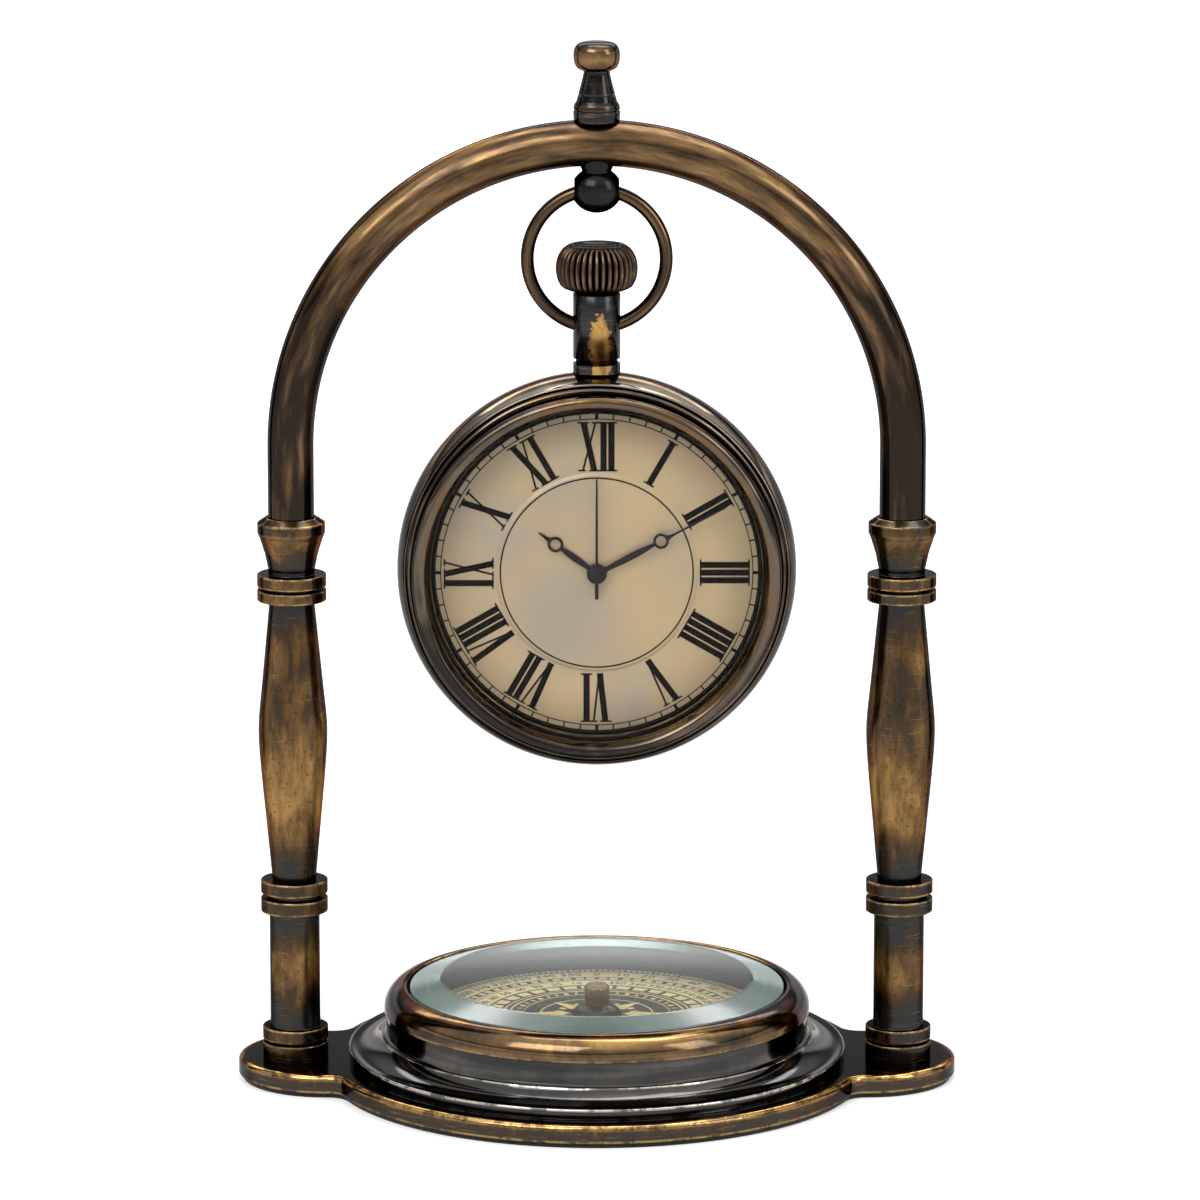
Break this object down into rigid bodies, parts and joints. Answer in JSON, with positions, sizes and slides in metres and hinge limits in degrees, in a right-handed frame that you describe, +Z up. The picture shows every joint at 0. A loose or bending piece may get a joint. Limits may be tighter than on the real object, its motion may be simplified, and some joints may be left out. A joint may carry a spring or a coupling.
{
  "type": "desk clock",
  "caption": "Old-style pocket watch hung by its bow in a tall arch on turned columns, over a compass under bevelled glass on a lobed base plate.",
  "frame": {"origin": "middle of the felt underside, on the surface that the clock stands on", "axes": "+X to the viewer's right as the dial is read, +Y away from the viewer, +Z up along the arch's middle line"},
  "size_m": [0.157, 0.118, 0.228],
  "materials": {
    "plate": "polished antique brass, dark lacquer, edge rubbed to gold",
    "felt": "black felt",
    "column": "antique brass, mottled brown patina",
    "arch": "antique brass rod, bronze sheen going dark at the ends",
    "dark_ball": "antique brass, nearly black",
    "screw_steel": "plain steel",
    "bowl": "polished antique brass, dark",
    "bowl_bezel": "antique brass, gold where rubbed",
    "compass_glass": "thick bevelled glass",
    "card": "printed card, aged cream",
    "compass_boss": "dark boss",
    "pivot_brass": "turned brass",
    "bow": "antique brass wire, dark bronze",
    "neck": "gunmetal patina with a rubbed patch",
    "crown": "antique brass, dark in the flutes",
    "case": "polished gunmetal patina over brass",
    "crystal": "clear glass",
    "dark_ring": "dark painted ring",
    "dial": "satin champagne dial with black print",
    "hands": "black lacquered",
    "movement_plastic": "black moulded plastic",
    "gear_plastic": "moulded acetal",
    "cell": "bare wrapped cell",
    "contact": "nickel-plated spring steel",
    "board": "green laminate",
    "coil": "enamelled copper winding"
  },
  "bodies": {
    "stand": {"base_felt": "felt", "base_plate": "plate", "left_column_foot": "column", "left_column_stem": "column", "left_column_baluster": "column", "left_column_ferrule": "column", "right_column_foot": "column", "right_column_stem": "column", "right_column_baluster": "column", "right_column_ferrule": "column", "tie_screws": "screw_steel", "arch_rod": "arch", "finial": "arch", "hanger_stud": "screw_steel", "hanger_ball": "dark_ball", "compass_bowl": "bowl", "compass_screws": "screw_steel", "compass_seat_ring": "bowl", "compass_glass": "compass_glass", "compass_bezel": "bowl_bezel", "compass_pivot": "pivot_brass"},
    "bow": {"bow": "bow"},
    "watch": {"pendant_tube": "neck", "pendant_collar": "neck", "case_band": "case", "front_bezel": "case", "crystal": "crystal", "rehaut_ring": "dark_ring", "dial": "dial", "movement_tray": "movement_plastic", "movement_lid": "movement_plastic", "battery": "cell", "battery_contacts": "contact", "circuit_board": "board", "drive_coil": "coil"},
    "crown": {"crown": "crown", "crown_stem": "screw_steel"},
    "back_cover": {"back_cover": "case"},
    "minute_works": {"minute_hand": "hands", "minute_pipe": "gear_plastic"},
    "hour_works": {"hour_hand": "hands", "hour_wheel": "gear_plastic"},
    "second_works": {"second_hand": "hands", "second_arbor": "screw_steel"},
    "minute_wheel": {"minute_wheel": "gear_plastic"},
    "setting_knob": {"setting_knob": "gear_plastic"},
    "compass_card": {"compass_card": "card", "compass_hub": "compass_boss", "compass_cap": "pivot_brass", "compass_magnets": "screw_steel"}
  },
  "joints": [
    {"name": "bow_swing", "type": "hinge", "parent": "stand", "child": "bow", "pos_m": [0, 0, 0.19605], "axis": [1, 0, 0], "range_deg": [-45, 45]},
    {"name": "watch_swing", "type": "hinge", "parent": "bow", "child": "watch", "pos_m": [0, 0, 0.16685], "axis": [1, 0, 0], "range_deg": [-60, 60]},
    {"name": "crown_turn", "type": "hinge", "parent": "watch", "child": "crown", "pos_m": [0, 0, 0.1741], "axis": [0, 0, 1], "continuous": true},
    {"name": "back_cover_pull", "type": "slide", "parent": "watch", "child": "back_cover", "axis": [0, 1, 0], "range_m": [0, 0.02]},
    {"name": "minute_turn", "type": "hinge", "parent": "watch", "child": "minute_works", "pos_m": [0, -0.005, 0.11355], "axis": [0, 1, 0], "continuous": true},
    {"name": "hour_turn", "type": "hinge", "parent": "watch", "child": "hour_works", "pos_m": [0, -0.005, 0.11355], "axis": [0, 1, 0], "continuous": true},
    {"name": "second_turn", "type": "hinge", "parent": "watch", "child": "second_works", "pos_m": [0, -0.005, 0.11355], "axis": [0, 1, 0], "continuous": true},
    {"name": "minute_wheel_turn", "type": "hinge", "parent": "watch", "child": "minute_wheel", "pos_m": [0, -0.005, 0.12155], "axis": [0, 1, 0], "continuous": true},
    {"name": "setting_turn", "type": "hinge", "parent": "watch", "child": "setting_knob", "pos_m": [0, 0.0112, 0.12955], "axis": [0, 1, 0], "continuous": true},
    {"name": "compass_turn", "type": "hinge", "parent": "stand", "child": "compass_card", "pos_m": [0, 0, 0.01544], "axis": [0, 0, 1], "continuous": true}
  ],
  "couplings": [
    {"joint": "hour_turn", "follows": "minute_turn", "ratio": 0.083333},
    {"joint": "second_turn", "follows": "minute_turn", "ratio": 60},
    {"joint": "minute_wheel_turn", "follows": "minute_turn", "ratio": -0.33333},
    {"joint": "setting_turn", "follows": "minute_turn", "ratio": 1}
  ]
}
